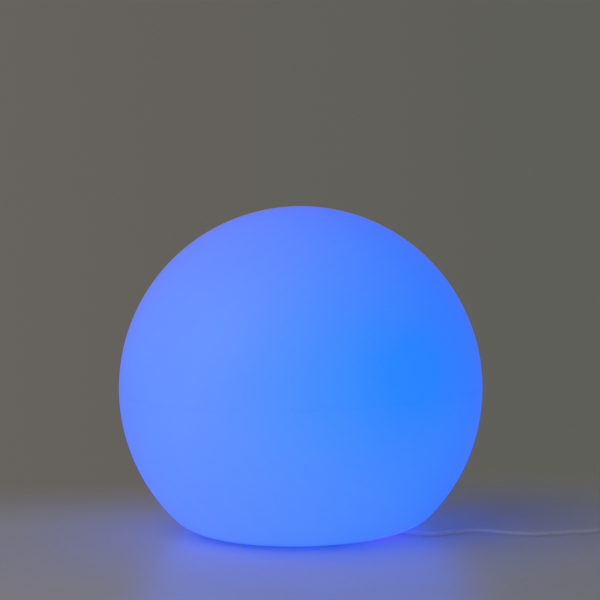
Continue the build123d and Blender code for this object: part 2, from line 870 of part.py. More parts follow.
lead_points = [
    at(59, 0, 12),
    at(74, 0, 12),
    at(93, -0.3, 3.4),
    at(124, 0.4, 3.05),
    (147, -71.5, 3.05),
    (184, -87.5, 3.05),
    (230, -58.5, 3.05),
    (273, -84, 3.05),
    (313, -95, 3.05),
    (360, -88.5, 3.05),
    (406, -77.5, 3.05),
    (433, -69.5, 3.05),
    (450.5, -57.3, 3.05),
    (460.8, -42.6, 4.6),
    (465, -27, 7.5),
    (465, -13, 7.5),
]
link_points = [
    (465, 49, 7.5),
    (465, 62, 7.5),
    (464.8, 77, 4.5),
    (465.3, 93, 3.05),
    (466.8, 108, 3.05),
]
tail_points = [
    (541.5, 116, 9.2),
    (543.5, 98, 8.3),
    (542.5, 80, 6.85),
    (542.5, 62, 6.85),
]

with BuildPart() as cord_lead:
    with BuildLine() as lead_path:
        FilletPolyline(*lead_points, radius=corner_radii(lead_points))
    with BuildSketch(Plane(origin=lead_path.line @ 0, z_dir=lead_path.line % 0)):
        Circle(cord_r)
    sweep(path=lead_path.line)
cord_lead.part.label = "cord_lead"
export_step(cord_lead.part, "parts/cord_lead.step")

with BuildPart() as cord_link:
    with BuildLine() as link_path:
        FilletPolyline(*link_points, radius=corner_radii(link_points))
    with BuildSketch(Plane(origin=link_path.line @ 0, z_dir=link_path.line % 0)):
        Circle(cord_r)
    sweep(path=link_path.line)
cord_link.part.label = "cord_link"
export_step(cord_link.part, "parts/cord_link.step")

with BuildPart() as cord_tail:
    with BuildLine() as tail_path:
        FilletPolyline(*tail_points, radius=corner_radii(tail_points))
    with BuildSketch(Plane(origin=tail_path.line @ 0, z_dir=tail_path.line % 0)):
        Circle(cord_r)
    sweep(path=tail_path.line)
cord_tail.part.label = "cord_tail"
export_step(cord_tail.part, "parts/cord_tail.step")

# the put-away turns, as the outer shape of their coil
coil_profile = [
    (coil_in_r, 0.0),
    (coil_out_r, 0.0),
    (coil_out_r + 0.4, 5.4),
    (coil_out_r - 2.6, 11.2),
    (coil_mean_r + 3.2, 16.6),
    (coil_mean_r - 3.2, 16.6),
    (coil_in_r + 2.6, 11.2),
    (coil_in_r - 0.3, 5.4),
]
with BuildPart() as cord_coil:
    with BuildSketch(Plane(origin=(coil_x, coil_y, 0), x_dir=(1, 0, 0), z_dir=(0, -1, 0))):
        with BuildLine():
            Polyline(*coil_profile, close=True)
        make_face()
    revolve(axis=Axis(origin=(coil_x, coil_y, 0), direction=(0, 0, 1)))
    # the tie passes under the turns
    with BuildSketch(Plane.XY):
        with Locations((coil_x, coil_y + coil_mean_r)):
            Rectangle(8.6, coil_out_r - coil_in_r + 4)
    extrude(amount=0.9, mode=Mode.SUBTRACT)
cord_coil.part.label = "cord_coil"
export_step(cord_coil.part, "parts/cord_coil.step")

with BuildPart() as coil_tie:
    with BuildSketch(Plane(origin=(coil_x - 4, coil_y, 0), x_dir=(0, 1, 0), z_dir=(1, 0, 0))):
        with BuildLine():
            Polyline(
                (coil_in_r - 1.9, 0.0),
                (coil_out_r + 1.6, 0.0),
                (coil_out_r + 1.9, 5.8),
                (coil_out_r - 1.2, 12.2),
                (coil_mean_r + 3.9, 18.0),
                (coil_mean_r - 3.9, 18.0),
                (coil_in_r + 1.2, 12.2),
                (coil_in_r - 2.2, 5.8),
                close=True,
            )
        make_face()
        with BuildLine():
            Polyline(
                (coil_in_r - 0.9, 0.8),
                (coil_out_r + 0.5, 0.8),
                (coil_out_r + 0.8, 5.6),
                (coil_out_r - 2.2, 11.6),
                (coil_mean_r + 3.4, 17.0),
                (coil_mean_r - 3.4, 17.0),
                (coil_in_r + 2.1, 11.6),
                (coil_in_r - 1.2, 5.6),
                close=True,
            )
        make_face(mode=Mode.SUBTRACT)
    extrude(amount=8)
coil_tie.part.label = "coil_tie"
export_step(coil_tie.part, "parts/coil_tie.step")

# ------------------------------------------------------------------ in-line switch
def switch_outline(inset):
    """Plan of the switch, along Y, narrowing at both ends."""
    a, b, n = switch_len / 2 - inset, switch_wid / 2 - inset, 6.0 - inset * 0.4
    with BuildSketch() as outline:
        with BuildLine():
            Polyline(
                (-n, -a), (n, -a), (b - 1.0, -a + 9), (b, -a + 14), (b, a - 14), (b - 1.0, a - 9),
                (n, a), (-n, a), (-b + 1.0, a - 9), (-b, a - 14), (-b, -a + 14), (-b + 1.0, -a + 9),
                close=True,
            )
        make_face()
    return outline.sketch


switch_wall = 1.8
rocker_half = 10.2
rocker_w = 10.0
rocker_axis_z = 13.2
trunnion_r = 1.0
trunnion_len = 2.0
lug_z = 11.0
screw_spots = [(7.2, 18.0), (-7.2, -18.0)]

with BuildPart() as switch_base:
    with BuildSketch(Plane(origin=(switch_x, switch_y, 0))):
        add(switch_outline(0))
    extrude(amount=switch_joint_z)
    fillet(switch_base.faces().sort_by(Axis.Z)[0].edges(), 1.6)
    with BuildSketch(Plane(origin=(switch_x, switch_y, switch_wall))):
        add(switch_outline(switch_wall))
    extrude(amount=switch_joint_z, mode=Mode.SUBTRACT)
    # screw posts
    with BuildSketch(Plane(origin=(switch_x, switch_y, switch_wall - 0.2))):
        with Locations(*screw_spots):
            Circle(2.9)
    extrude(amount=switch_joint_z - switch_wall + 0.2)
    with BuildSketch(Plane(origin=(switch_x, switch_y, -1))):
        with Locations(*screw_spots):
            Circle(1.6)
    extrude(amount=switch_joint_z + 2, mode=Mode.SUBTRACT)
    with BuildSketch(Plane(origin=(switch_x, switch_y, -1))):
        with Locations(*screw_spots):
            Circle(2.6)
    extrude(amount=1 + 2.0, mode=Mode.SUBTRACT)
    # half of each cord entry
    with BuildSketch(Plane(origin=(switch_x, switch_y - switch_len / 2 - 1, switch_joint_z), x_dir=(1, 0, 0), z_dir=(0, 1, 0))):
        Circle(cord_r)
    extrude(amount=switch_wall + 4, mode=Mode.SUBTRACT)
    with BuildSketch(Plane(origin=(switch_x, switch_y + switch_len / 2 + 1, switch_joint_z), x_dir=(1, 0, 0), z_dir=(0, -1, 0))):
        Circle(cord_r)
    extrude(amount=switch_wall + 4, mode=Mode.SUBTRACT)
switch_base.part.label = "switch_base"
export_step(switch_base.part, "parts/switch_base.step")

with BuildPart() as switch_cover:
    with BuildSketch(Plane(origin=(switch_x, switch_y, switch_joint_z))):
        add(switch_outline(0))
    extrude(amount=switch_h - switch_joint_z)
    fillet(switch_cover.faces().sort_by(Axis.Z)[-1].edges(), 2.0)
    with BuildSketch(Plane(origin=(switch_x, switch_y, switch_joint_z - 1))):
        add(switch_outline(switch_wall))
    extrude(amount=switch_h - switch_joint_z - switch_wall + 1, mode=Mode.SUBTRACT)
    with BuildSketch(Plane(origin=(switch_x, switch_y, switch_joint_z))):
        with Locations(*screw_spots):
            Circle(2.9)
    extrude(amount=switch_h - switch_joint_z - switch_wall + 0.2)
    with BuildSketch(Plane(origin=(switch_x, switch_y, switch_joint_z - 1))):
        with Locations(*screw_spots):
            Circle(1.32)
    extrude(amount=6.0, mode=Mode.SUBTRACT)
    # window of the rocker
    with BuildSketch(Plane(origin=(switch_x, switch_y, switch_h - switch_wall - 2))):
        Rectangle(rocker_w + 0.8, 2 * rocker_half + 0.8)
    extrude(amount=switch_wall + 4, mode=Mode.SUBTRACT)
    # two lugs beside the window, each with a round seat that the rocker's trunnion snaps into from below
    with BuildSketch(Plane(origin=(switch_x, switch_y, lug_z))):
        with Locations((-rocker_w / 2 - 1.4, 0), (rocker_w / 2 + 1.4, 0)):
            Rectangle(2.0, 5.2)
    extrude(amount=switch_h - switch_wall - lug_z + 0.2)
    with BuildSketch(Plane(origin=(switch_x - rocker_w / 2 - 2.5, switch_y, rocker_axis_z), x_dir=(0, 1, 0), z_dir=(1, 0, 0))):
        Circle(trunnion_r + 0.15)
        with Locations((0, -1.5)):
            Rectangle(2 * trunnion_r - 0.3, 3.0)
    extrude(amount=rocker_w + 5.0, mode=Mode.SUBTRACT)
    with BuildSketch(Plane(origin=(switch_x, switch_y - switch_len / 2 - 1, switch_joint_z), x_dir=(1, 0, 0), z_dir=(0, 1, 0))):
        Circle(cord_r)
    extrude(amount=switch_wall + 4, mode=Mode.SUBTRACT)
    with BuildSketch(Plane(origin=(switch_x, switch_y + switch_len / 2 + 1, switch_joint_z), x_dir=(1, 0, 0), z_dir=(0, -1, 0))):
        Circle(cord_r)
    extrude(amount=switch_wall + 4, mode=Mode.SUBTRACT)
switch_cover.part.label = "switch_cover"
export_step(switch_cover.part, "parts/switch_cover.step")

# the rocker's top is a shallow V; at rest its end towards +Y is pressed down
with BuildPart() as rocker_level:
    with BuildSketch(Plane(origin=(-rocker_w / 2, 0, 0), x_dir=(0, 1, 0), z_dir=(1, 0, 0))):
        with BuildLine():
            rise = math.tan(math.radians(rocker_tilt)) * rocker_half
            Polyline(
                (-rocker_half + 0.5, 0.9),
                (-rocker_half + 0.35, 2.6 + rise),
                (-rocker_half + 1.1, 3.2 + rise),
                (0, 2.9),
                (rocker_half - 1.1, 3.2 + rise),
                (rocker_half - 0.35, 2.6 + rise),
                (rocker_half - 0.5, 0.9),
                (1.6, -1.0),
                (-1.6, -1.0),
                close=True,
            )
        make_face()
    extrude(amount=rocker_w)
    # trunnions on the tilt axis
    with BuildSketch(Plane(origin=(-rocker_w / 2 - trunnion_len, 0, 0), x_dir=(0, 1, 0), z_dir=(1, 0, 0))):
        Circle(trunnion_r)
    extrude(amount=rocker_w + 2 * trunnion_len)

with BuildPart() as switch_rocker:
    with Locations(Location((switch_x, switch_y, rocker_axis_z), (-rocker_tilt, 0, 0))):
        add(rocker_level.part)
switch_rocker.part.label = "switch_rocker"
export_step(switch_rocker.part, "parts/switch_rocker.step")

with BuildPart() as switch_contacts:
    for cxs, cys in ((-5.6, -9.0), (5.6, 9.0)):
        with BuildSketch(Plane(origin=(switch_x, switch_y, switch_wall))):
            with Locations((cxs, cys)):
                Rectangle(5.0, 9.0)
        extrude(amount=5.2)
switch_contacts.part.label = "switch_contacts"
export_step(switch_contacts.part, "parts/switch_contacts.step")

with BuildPart() as one_switch_screw:
    with BuildSketch(Plane.XZ):
        with BuildLine():
            Polyline((0, 0.5), (2.4, 0.5), (2.4, 2.0), (1.3, 2.0), (1.3, 11.5), (0, 12.3), close=True)
        make_face()
    revolve(axis=Axis.Z)
    with BuildSketch(Plane.XY.offset(0.5)):
        Rectangle(2.8, 0.7)
    extrude(amount=0.7, mode=Mode.SUBTRACT)

with BuildPart() as switch_screws:
    with Locations(*[(switch_x + x, switch_y + y, 0) for x, y in screw_spots]):
        add(one_switch_screw.part)
switch_screws.part.label = "switch_screws"
export_step(switch_screws.part, "parts/switch_screws.step")

# ------------------------------------------------------------------ plug
def plug_plane(y):
    """Upright plane across the plug, facing the way the pins point."""
    return Plane(origin=(plug_x, y, plug_z), x_dir=(-1, 0, 0), z_dir=(0, -1, 0))


with BuildPart() as plug_body:
    # tapered boot, shoulder and flat body
    with BuildSketch(plug_plane(62.0)):
        Circle(4.0)
    with BuildSketch(plug_plane(plug_root_y)):
        Circle(5.6)
    loft()
    with BuildSketch(plug_plane(plug_root_y)):
        Circle(5.6)
    with BuildSketch(plug_plane(plug_root_y - 13.0)):
        SlotOverall(35.3, 13.6)
    loft()
    with BuildSketch(plug_plane(plug_root_y - 13.0)):
        SlotOverall(35.3, 13.6)
    extrude(amount=plug_root_y - 13.0 - plug_face_y)
    fillet(plug_body.faces().sort_by(Axis.Y)[0].edges(), 0.8)
plug_body.part.label = "plug_body"
export_step(plug_body.part, "parts/plug_body.step")

with BuildPart() as plug_pins:
    for sx in (-pin_spacing / 2, pin_spacing / 2):
        with BuildSketch(Plane(origin=(plug_x + sx, 0, plug_z), x_dir=(0, -1, 0), z_dir=(1, 0, 0))):
            with BuildLine():
                y0, y1 = -plug_face_y, -plug_face_y + pin_len
                Polyline((y0, 0), (y0, pin_r), (y1 - 1.2, pin_r), (y1 - 0.3, pin_r - 0.8), (y1, 0), close=True)
            make_face()
        revolve(axis=Axis(origin=(plug_x + sx, 0, plug_z), direction=(0, 1, 0)))
plug_pins.part.label = "plug_pins"
export_step(plug_pins.part, "parts/plug_pins.step")

# ------------------------------------------------------------------ printed checks of the cord
section = math.pi * cord_r ** 2
total = 0.0
for label, points, path, tube in (
    ("cord_lead", lead_points, lead_path, cord_lead),
    ("cord_link", link_points, link_path, cord_link),
    ("cord_tail", tail_points, tail_path, cord_tail),
):
    length = sum(e.length for e in path.line.edges())
    total += length
    print(label, "length", round(length, 1), "volume over section times length",
          round(tube.part.volume / (section * length), 4),
          "radii", [round(r, 1) for r in corner_radii(points)])
coil_len = 2 * math.pi * coil_mean_r * coil_turns
total += coil_len + switch_len
print("coil", round(coil_len, 1), "whole cord", round(total, 1))
print("flat base radius", round(flat_r, 2), "globe centre", globe_z, "height", globe_z + globe_r)
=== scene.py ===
import bpy
import bmesh
import json
import math
from mathutils import Matrix, Vector, noise

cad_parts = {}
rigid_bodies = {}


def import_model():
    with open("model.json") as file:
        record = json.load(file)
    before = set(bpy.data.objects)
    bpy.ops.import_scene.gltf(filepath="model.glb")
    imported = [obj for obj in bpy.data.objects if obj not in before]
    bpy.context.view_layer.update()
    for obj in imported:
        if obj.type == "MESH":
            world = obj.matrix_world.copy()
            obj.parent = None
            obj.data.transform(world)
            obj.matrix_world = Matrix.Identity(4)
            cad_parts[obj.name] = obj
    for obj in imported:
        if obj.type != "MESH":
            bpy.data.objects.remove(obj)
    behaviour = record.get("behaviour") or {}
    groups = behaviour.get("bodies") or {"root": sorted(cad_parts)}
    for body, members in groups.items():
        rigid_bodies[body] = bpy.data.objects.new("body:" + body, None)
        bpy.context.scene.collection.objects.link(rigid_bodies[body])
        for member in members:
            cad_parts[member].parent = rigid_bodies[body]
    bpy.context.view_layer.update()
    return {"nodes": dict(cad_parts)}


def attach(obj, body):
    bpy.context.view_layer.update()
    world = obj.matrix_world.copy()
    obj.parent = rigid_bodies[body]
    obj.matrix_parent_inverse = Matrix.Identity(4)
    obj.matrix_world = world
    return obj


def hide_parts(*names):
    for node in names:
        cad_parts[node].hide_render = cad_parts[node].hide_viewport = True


# A garden globe light, lit blue, on a pale studio floor. Metres, +Z up, the globe's axis is the Z axis.

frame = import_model()
nodes = frame["nodes"]
scene = bpy.context.scene

MM = 0.001
CENTRE = Vector((0, 0, 0.1955))      # middle of the sphere
R_OUT, R_IN = 0.250, 0.246
CORD_AZ = math.radians(-26.0)
UX, UY = math.cos(CORD_AZ), math.sin(CORD_AZ)


# ------------------------------------------------------------------ small helpers for shader nodes
class Mat:
    """A material's node tree, with one Principled shader."""

    def __init__(self, name):
        self.m = bpy.data.materials.new(name)
        self.m.use_nodes = True
        self.t = self.m.node_tree
        self.t.nodes.clear()
        self.out = self.t.nodes.new("ShaderNodeOutputMaterial")
        self.p = self.t.nodes.new("ShaderNodeBsdfPrincipled")
        self.link(self.p.outputs[0], self.out.inputs[0])
        self.tc = self.t.nodes.new("ShaderNodeTexCoord")
        self.co = self.tc.outputs["Object"]

    def link(self, a, b):
        self.t.links.new(a, b)

    def put(self, socket, value):
        if hasattr(value, "is_output"):
            self.link(value, socket)
        else:
            socket.default_value = value

    def math(self, op, a, b=None, c=None, clamp=False):
        n = self.t.nodes.new("ShaderNodeMath")
        n.operation = op
        n.use_clamp = clamp
        for i, v in enumerate((a, b, c)):
            if v is not None:
                self.put(n.inputs[i], v)
        return n.outputs[0]

    def vec(self, op, a, b=None, scale=None):
        n = self.t.nodes.new("ShaderNodeVectorMath")
        n.operation = op
        self.put(n.inputs[0], a)
        if b is not None:
            self.put(n.inputs[1], b)
        if scale is not None:
            self.put(n.inputs["Scale"], scale)
        return n.outputs["Value"] if op in ("DOT_PRODUCT", "LENGTH", "DISTANCE") else n.outputs["Vector"]

    def xyz(self, v):
        n = self.t.nodes.new("ShaderNodeSeparateXYZ")
        self.put(n.inputs[0], v)
        return n.outputs

    def mapping(self, v, scale=(1, 1, 1), rotation=(0, 0, 0), location=(0, 0, 0)):
        n = self.t.nodes.new("ShaderNodeMapping")
        self.put(n.inputs["Vector"], v)
        n.inputs["Scale"].default_value = scale
        n.inputs["Rotation"].default_value = rotation
        n.inputs["Location"].default_value = location
        return n.outputs[0]

    def noise(self, scale, detail=3.0, rough=0.5, co=None, distortion=0.0):
        n = self.t.nodes.new("ShaderNodeTexNoise")
        self.put(n.inputs["Vector"], co if co is not None else self.co)
        n.inputs["Scale"].default_value = scale
        n.inputs["Detail"].default_value = detail
        n.inputs["Roughness"].default_value = rough
        n.inputs["Distortion"].default_value = distortion
        return n.outputs["Fac"]

    def voronoi(self, scale, co=None, feature="F1", out="Distance"):
        n = self.t.nodes.new("ShaderNodeTexVoronoi")
        n.feature = feature
        self.put(n.inputs["Vector"], co if co is not None else self.co)
        n.inputs["Scale"].default_value = scale
        return n.outputs[out]

    def wave(self, scale, direction="X", distortion=0.0, co=None, profile="SIN"):
        n = self.t.nodes.new("ShaderNodeTexWave")
        n.bands_direction = direction
        n.wave_profile = profile
        self.put(n.inputs["Vector"], co if co is not None else self.co)
        n.inputs["Scale"].default_value = scale
        n.inputs["Distortion"].default_value = distortion
        return n.outputs["Fac"]

    def ramp(self, fac, stops, mode="LINEAR"):
        n = self.t.nodes.new("ShaderNodeValToRGB")
        n.color_ramp.interpolation = mode
        self.put(n.inputs[0], fac)
        e = n.color_ramp.elements
        while len(e) < len(stops):
            e.new(0.5)
        for el, (pos, col) in zip(e, stops):
            el.position = pos
            el.color = (*col, 1) if len(col) == 3 else col
        return n.outputs["Color"]

    def span(self, v, lo, hi, to_lo=0.0, to_hi=1.0, smooth=False):
        n = self.t.nodes.new("ShaderNodeMapRange")
        n.interpolation_type = "SMOOTHSTEP" if smooth else "LINEAR"
        n.clamp = True
        self.put(n.inputs["Value"], v)
        for name, x in (("From Min", lo), ("From Max", hi), ("To Min", to_lo), ("To Max", to_hi)):
            n.inputs[name].default_value = x
        return n.outputs["Result"]

    def mix(self, fac, a, b, blend="MIX"):
        n = self.t.nodes.new("ShaderNodeMix")
        n.data_type = "RGBA"
        n.blend_type = blend
        self.put(n.inputs["Factor"], fac)
        ins = [s for s in n.inputs if s.type == "RGBA"]
        for socket, v in zip(ins, (a, b)):
            self.put(socket, (*v, 1) if isinstance(v, (tuple, list)) and len(v) == 3 else v)
        return [s for s in n.outputs if s.type == "RGBA"][0]

    def bump(self, height, strength=0.5, distance=0.0005, normal=None):
        n = self.t.nodes.new("ShaderNodeBump")
        n.inputs["Strength"].default_value = strength
        n.inputs["Distance"].default_value = distance
        self.put(n.inputs["Height"], height)
        if normal is not None:
            self.link(normal, n.inputs["Normal"])
        return n.outputs[0]

    def set(self, **values):
        for key, v in values.items():
            socket = self.p.inputs[key.replace("_", " ")]
            if isinstance(v, tuple) and len(v) == 3 and socket.type == "RGBA":
                v = (*v, 1)
            self.put(socket, v)
        return self


def shade(colour, k):
    return tuple(min(1.0, c * k) for c in colour)


# ------------------------------------------------------------------ materials
def plastic(name, colour, rough=0.42, grain=900.0, depth=0.00006, vary=0.05, mottle=25.0, coat=0.0):
    """Moulded plastic: fine spark-eroded grain, faint flow mottling and uneven gloss."""
    m = Mat(name)
    flow = m.noise(mottle, 3.0, 0.55, distortion=0.6)
    fine = m.noise(grain, 2.0, 0.6)
    m.set(Base_Color=m.ramp(flow, [(0.25, shade(colour, 1 - vary)), (0.75, shade(colour, 1 + vary * 0.6))]))
    m.set(Roughness=m.math("ADD", m.span(flow, 0.3, 0.7, rough - 0.05, rough + 0.05), m.span(fine, 0.3, 0.7, -0.03, 0.03)))
    m.set(Normal=m.bump(fine, 0.35, depth))
    if coat:
        m.set(Coat_Weight=coat, Coat_Roughness=0.25)
    return m.m


def rubber(name, colour, rough=0.72):
    """Moulded rubber: matt, dusty, with fine pimples."""
    m = Mat(name)
    dust = m.noise(60.0, 5.0, 0.6)
    fine = m.voronoi(1600.0)
    m.set(Base_Color=m.ramp(dust, [(0.35, colour), (0.8, tuple(c * 1.6 + 0.015 for c in colour))]))
    m.set(Roughness=m.span(dust, 0.3, 0.8, rough - 0.08, rough + 0.12))
    m.set(Normal=m.bump(fine, 0.3, 0.00008))
    return m.m


def metal(name, colour, rough=0.3, stretch=(1, 1, 40), scale=120.0, tint=0.12):
    """Plated or drawn metal: fine drawing marks and a slightly uneven tarnish."""
    m = Mat(name)
    marks = m.noise(scale, 4.0, 0.6, co=m.mapping(m.co, scale=stretch))
    tarnish = m.noise(70.0, 4.0, 0.6)
    m.set(Base_Color=m.mix(m.span(tarnish, 0.4, 0.75), colour, shade(colour, 1 - tint * 2)))
    m.set(Metallic=1.0, Roughness=m.math("ADD", m.span(marks, 0.3, 0.7, rough - 0.06, rough + 0.06), m.span(tarnish, 0.4, 0.8, 0.0, 0.08)))
    m.set(Normal=m.bump(marks, 0.25, 0.00003))
    return m.m


def foam(name, colour):
    """Closed-cell foam: small cells and a matt skin."""
    m = Mat(name)
    cells = m.voronoi(1400.0, feature="DISTANCE_TO_EDGE")
    tone = m.noise(90.0, 4.0, 0.6)
    m.set(Base_Color=m.mix(m.span(cells, 0.0, 0.25), shade(colour, 0.6), m.ramp(tone, [(0.3, shade(colour, 0.9)), (0.7, shade(colour, 1.12))])))
    m.set(Roughness=0.88, Normal=m.bump(cells, 0.5, 0.0002))
    return m.m


def ceramic(name, colour):
    """Unglazed steatite: off-white, sandy, with darker specks."""
    m = Mat(name)
    sand = m.noise(700.0, 3.0, 0.7)
    specks = m.voronoi(420.0)
    m.set(Base_Color=m.mix(m.span(specks, 0.05, 0.16), shade(colour, 0.72), m.ramp(sand, [(0.3, shade(colour, 0.93)), (0.7, colour)])))
    m.set(Roughness=m.span(sand, 0.3, 0.7, 0.5, 0.68), Normal=m.bump(sand, 0.35, 0.00008))
    return m.m


def wire_skin(name, colour):
    """Extruded wire insulation: glossy, with small scuffs."""
    m = Mat(name)
    scuff = m.noise(240.0, 5.0, 0.65)
    m.set(Base_Color=m.ramp(scuff, [(0.3, shade(colour, 0.85)), (0.75, shade(colour, 1.1))]))
    m.set(Roughness=m.span(scuff, 0.35, 0.7, 0.28, 0.45), Normal=m.bump(scuff, 0.2, 0.00005))
    return m.m


def circuit(name, colour, track, scale=260.0):
    """Solder-masked board: mask over copper tracks."""
    m = Mat(name)
    x = m.wave(scale, "X", 1.4)
    y = m.wave(scale * 0.8, "Y", 2.1)
    lines = m.math("MAXIMUM", m.span(x, 0.82, 0.9), m.span(y, 0.84, 0.92))
    tone = m.noise(120.0, 3.0, 0.5)
    m.set(Base_Color=m.mix(lines, m.ramp(tone, [(0.3, shade(colour, 0.88)), (0.7, shade(colour, 1.08))]), track))
    m.set(Roughness=m.span(tone, 0.3, 0.7, 0.3, 0.42), Normal=m.bump(lines, 0.4, 0.00004))
    return m.m


def woven_tie(name, colour):
    """Hook-and-loop strap: a felt of small loops."""
    m = Mat(name)
    loops = m.voronoi(1500.0)
    tone = m.noise(300.0, 4.0, 0.7)
    m.set(Base_Color=m.mix(m.span(loops, 0.1, 0.6), m.ramp(tone, [(0.3, shade(colour, 1.25)), (0.7, shade(colour, 0.8))]), shade(colour, 0.45)))
    m.set(Roughness=0.9, Sheen_Weight=0.3, Sheen_Roughness=0.5, Normal=m.bump(loops, 0.8, 0.0004))
    return m.m


def clear_pvc(name, tint=(0.90, 0.91, 0.92), rough=0.14):
    """Frosted clear flexible PVC: milky, with a faint haze and handling scuffs."""
    m = Mat(name)
    haze = m.noise(45.0, 4.0, 0.6)
    m.set(Base_Color=m.ramp(haze, [(0.3, tint), (0.75, shade(tint, 0.93))]))
    m.set(Alpha=0.27, IOR=1.5, Specular_IOR_Level=1.0, Subsurface_Weight=0.8, Subsurface_Scale=0.004)
    m.p.inputs["Subsurface Radius"].default_value = (1.0, 1.0, 1.0)
    m.set(Roughness=m.span(haze, 0.35, 0.7, rough, rough + 0.12))
    m.set(Normal=m.bump(m.noise(420.0, 3.0, 0.6), 0.12, 0.00005))
    return m.m


def strands(name):
    """Tinned copper strands, laid in a twist."""
    m = Mat(name)
    lay = m.noise(900.0, 3.0, 0.6, co=m.mapping(m.co, scale=(1, 1, 1)))
    m.set(Base_Color=m.ramp(lay, [(0.35, (0.62, 0.63, 0.66)), (0.7, (0.84, 0.845, 0.86))]))
    m.set(Metallic=0.25, Roughness=m.span(lay, 0.3, 0.7, 0.28, 0.45), Normal=m.bump(lay, 0.7, 0.00015))
    return m.m


def lit_globe(name):
    """White polyethylene wall lit from inside: the lamp's colours mix unevenly over it, violet-blue on one side and azure on the other, and the wall's thickness varies a little."""
    m = Mat(name)
    m.m.cycles.emission_sampling = "FRONT"
    p = m.vec("SUBTRACT", m.co, tuple(CENTRE))
    n = m.vec("NORMALIZE", p)
    x, y, z = m.xyz(n)
    # main change of colour across the globe: red fades towards +X, green is strongest round the middle height
    ripple = m.math("MULTIPLY_ADD", x, 0.0142, -0.0130)
    slope = m.math("MULTIPLY_ADD", x, ripple, m.math("MULTIPLY_ADD", z, -0.0170, -0.0425))
    red = m.math("MULTIPLY_ADD", x, slope, m.math("MULTIPLY_ADD", z, 0.0059, 0.0452))
    # azure patch in front, where one of the lamp's emitters looks straight at the wall
    away = m.vec("LENGTH", m.mapping(n, scale=(1 / 0.84, 1 / 0.84, 1 / 0.675), location=(-0.214 / 0.84, 0.967 / 0.84, -0.14 / 0.675)))
    red = m.math("MAXIMUM", m.math("SUBTRACT", red, m.span(away, 0.0, 1.0, 0.0194, 0.0, smooth=True)), 0.003)
    spot = m.vec("DISTANCE", n, (0.555, -0.813, 0.175))
    patchy = m.span(m.noise(13.0, 2.0, 0.5, co=m.mapping(p, scale=(1.0, 1.0, 0.45), location=(0.021, 0.013, 0.0))), 0.42, 0.60, 0.35, 1.15, smooth=True)
    red = m.math("MAXIMUM", m.math("SUBTRACT", red, m.math("MULTIPLY", patchy, m.span(spot, 0.04, 0.40, 0.0066, 0.0, smooth=True))), 0.003)
    bend = m.math("MULTIPLY_ADD", z, -0.0094, m.math("MULTIPLY_ADD", x, -0.0212, -0.0186))
    green = m.math("MULTIPLY_ADD", x, bend, m.math("MULTIPLY_ADD", m.math("MULTIPLY", z, z), -0.0322, 0.1535))
    side = m.t.nodes.new("ShaderNodeCombineXYZ")
    m.put(side.inputs[0], red)
    m.put(side.inputs[1], green)
    side.inputs[2].default_value = 0.93
    side = side.outputs[0]
    # uneven wall thickness: broad mottling, fine grain, and the parting line; the parting line's extra darkening
    # towards the ±X sides, with a dark band below it there, is painted shade of the ridge seen edge-on
    mottle = m.noise(9.0, 2.0, 0.5, distortion=0.3)
    fine = m.noise(70.0, 3.0, 0.6)
    thickness_and_shade = m.math("ADD", m.span(mottle, 0.3, 0.7, 0.985, 1.015), m.span(fine, 0.3, 0.7, -0.006, 0.006))
    px, py, pz = m.xyz(p)
    wob = m.noise(22.0, 3.0, 0.6)
    broken = m.span(m.noise(16.0, 2.0, 0.5, co=m.mapping(p, scale=(1, 1, 0.05), location=(0.3, 0.1, 0.0))), 0.44, 0.58, 0.0, 1.0, smooth=True)
    seam_z = m.math("ADD", pz, m.span(wob, 0.3, 0.7, -0.0012, 0.0012))
    above = m.math("SUBTRACT", 1.0, m.math("MULTIPLY", m.math("ABSOLUTE", m.math("SUBTRACT", seam_z, 0.0008)), 1 / 0.0036), clamp=True)
    # painted shade: the parting line darkens more towards the ±X sides, where a dark band also lies below it
    shade_band_below = m.math("SUBTRACT", 1.0, m.math("MULTIPLY", m.math("ABSOLUTE", m.math("ADD", seam_z, 0.0085)), 1 / 0.0040), clamp=True)
    edge_on_shade = m.span(m.math("ABSOLUTE", x), 0.80, 0.97, 0.0, 1.0, smooth=True)
    seam_and_shade = m.math("MULTIPLY", broken, m.math("MULTIPLY_ADD", above, m.math("MULTIPLY_ADD", edge_on_shade, -0.060, -0.042), m.math("MULTIPLY", m.math("MULTIPLY", shade_band_below, edge_on_shade), -0.070)))
    thickness_and_shade = m.math("ADD", thickness_and_shade, seam_and_shade)
    # the holder's frame and the thick foot keep light from the underside
    thickness_and_shade = m.math("MULTIPLY", thickness_and_shade, m.span(pz, -0.1932, -0.1885, 0.78, 1.0, smooth=True))
    side = m.vec("SCALE", side, scale=thickness_and_shade)
    # the hem over the lead's channel is a little more violet
    hem = m.math("MULTIPLY", m.span(m.vec("DISTANCE", p, (0.118, -0.0900, -0.1860)), 0.030, 0.100, 1.0, 0.0, smooth=True), m.span(pz, -0.1860, -0.1700, 1.0, 0.0, smooth=True))
    side = m.mix(m.math("MULTIPLY", hem, 0.5), side, (0.052, 0.115, 0.95))
    # a warmer stray light gets out through the lead's channel, on the underside only
    near = m.span(m.vec("DISTANCE", p, (0.124, -0.0660, -0.1935)), 0.015, 0.085, 1.0, 0.0, smooth=True)
    leak = m.math("MULTIPLY", near, m.span(pz, -0.1930, -0.1895, 1.0, 0.0, smooth=True))
    side = m.mix(m.math("MULTIPLY", leak, 0.7), side, (0.110, 0.092, 0.93))
    m.set(Emission_Color=side, Emission_Strength=1.6)
    # the dark blue base colour is painted in for the lamp's blue light; the wall itself is white polyethylene
    m.set(Base_Color=(0.042, 0.085, 0.26), Roughness=0.5)
    m.set(Coat_Weight=1.0, Coat_Roughness=0.32, Coat_IOR=1.5)
    peel = m.noise(260.0, 3.0, 0.5)
    b = m.bump(peel, 0.25, 0.0001)
    m.set(Normal=b, Coat_Normal=b)
    return m.m


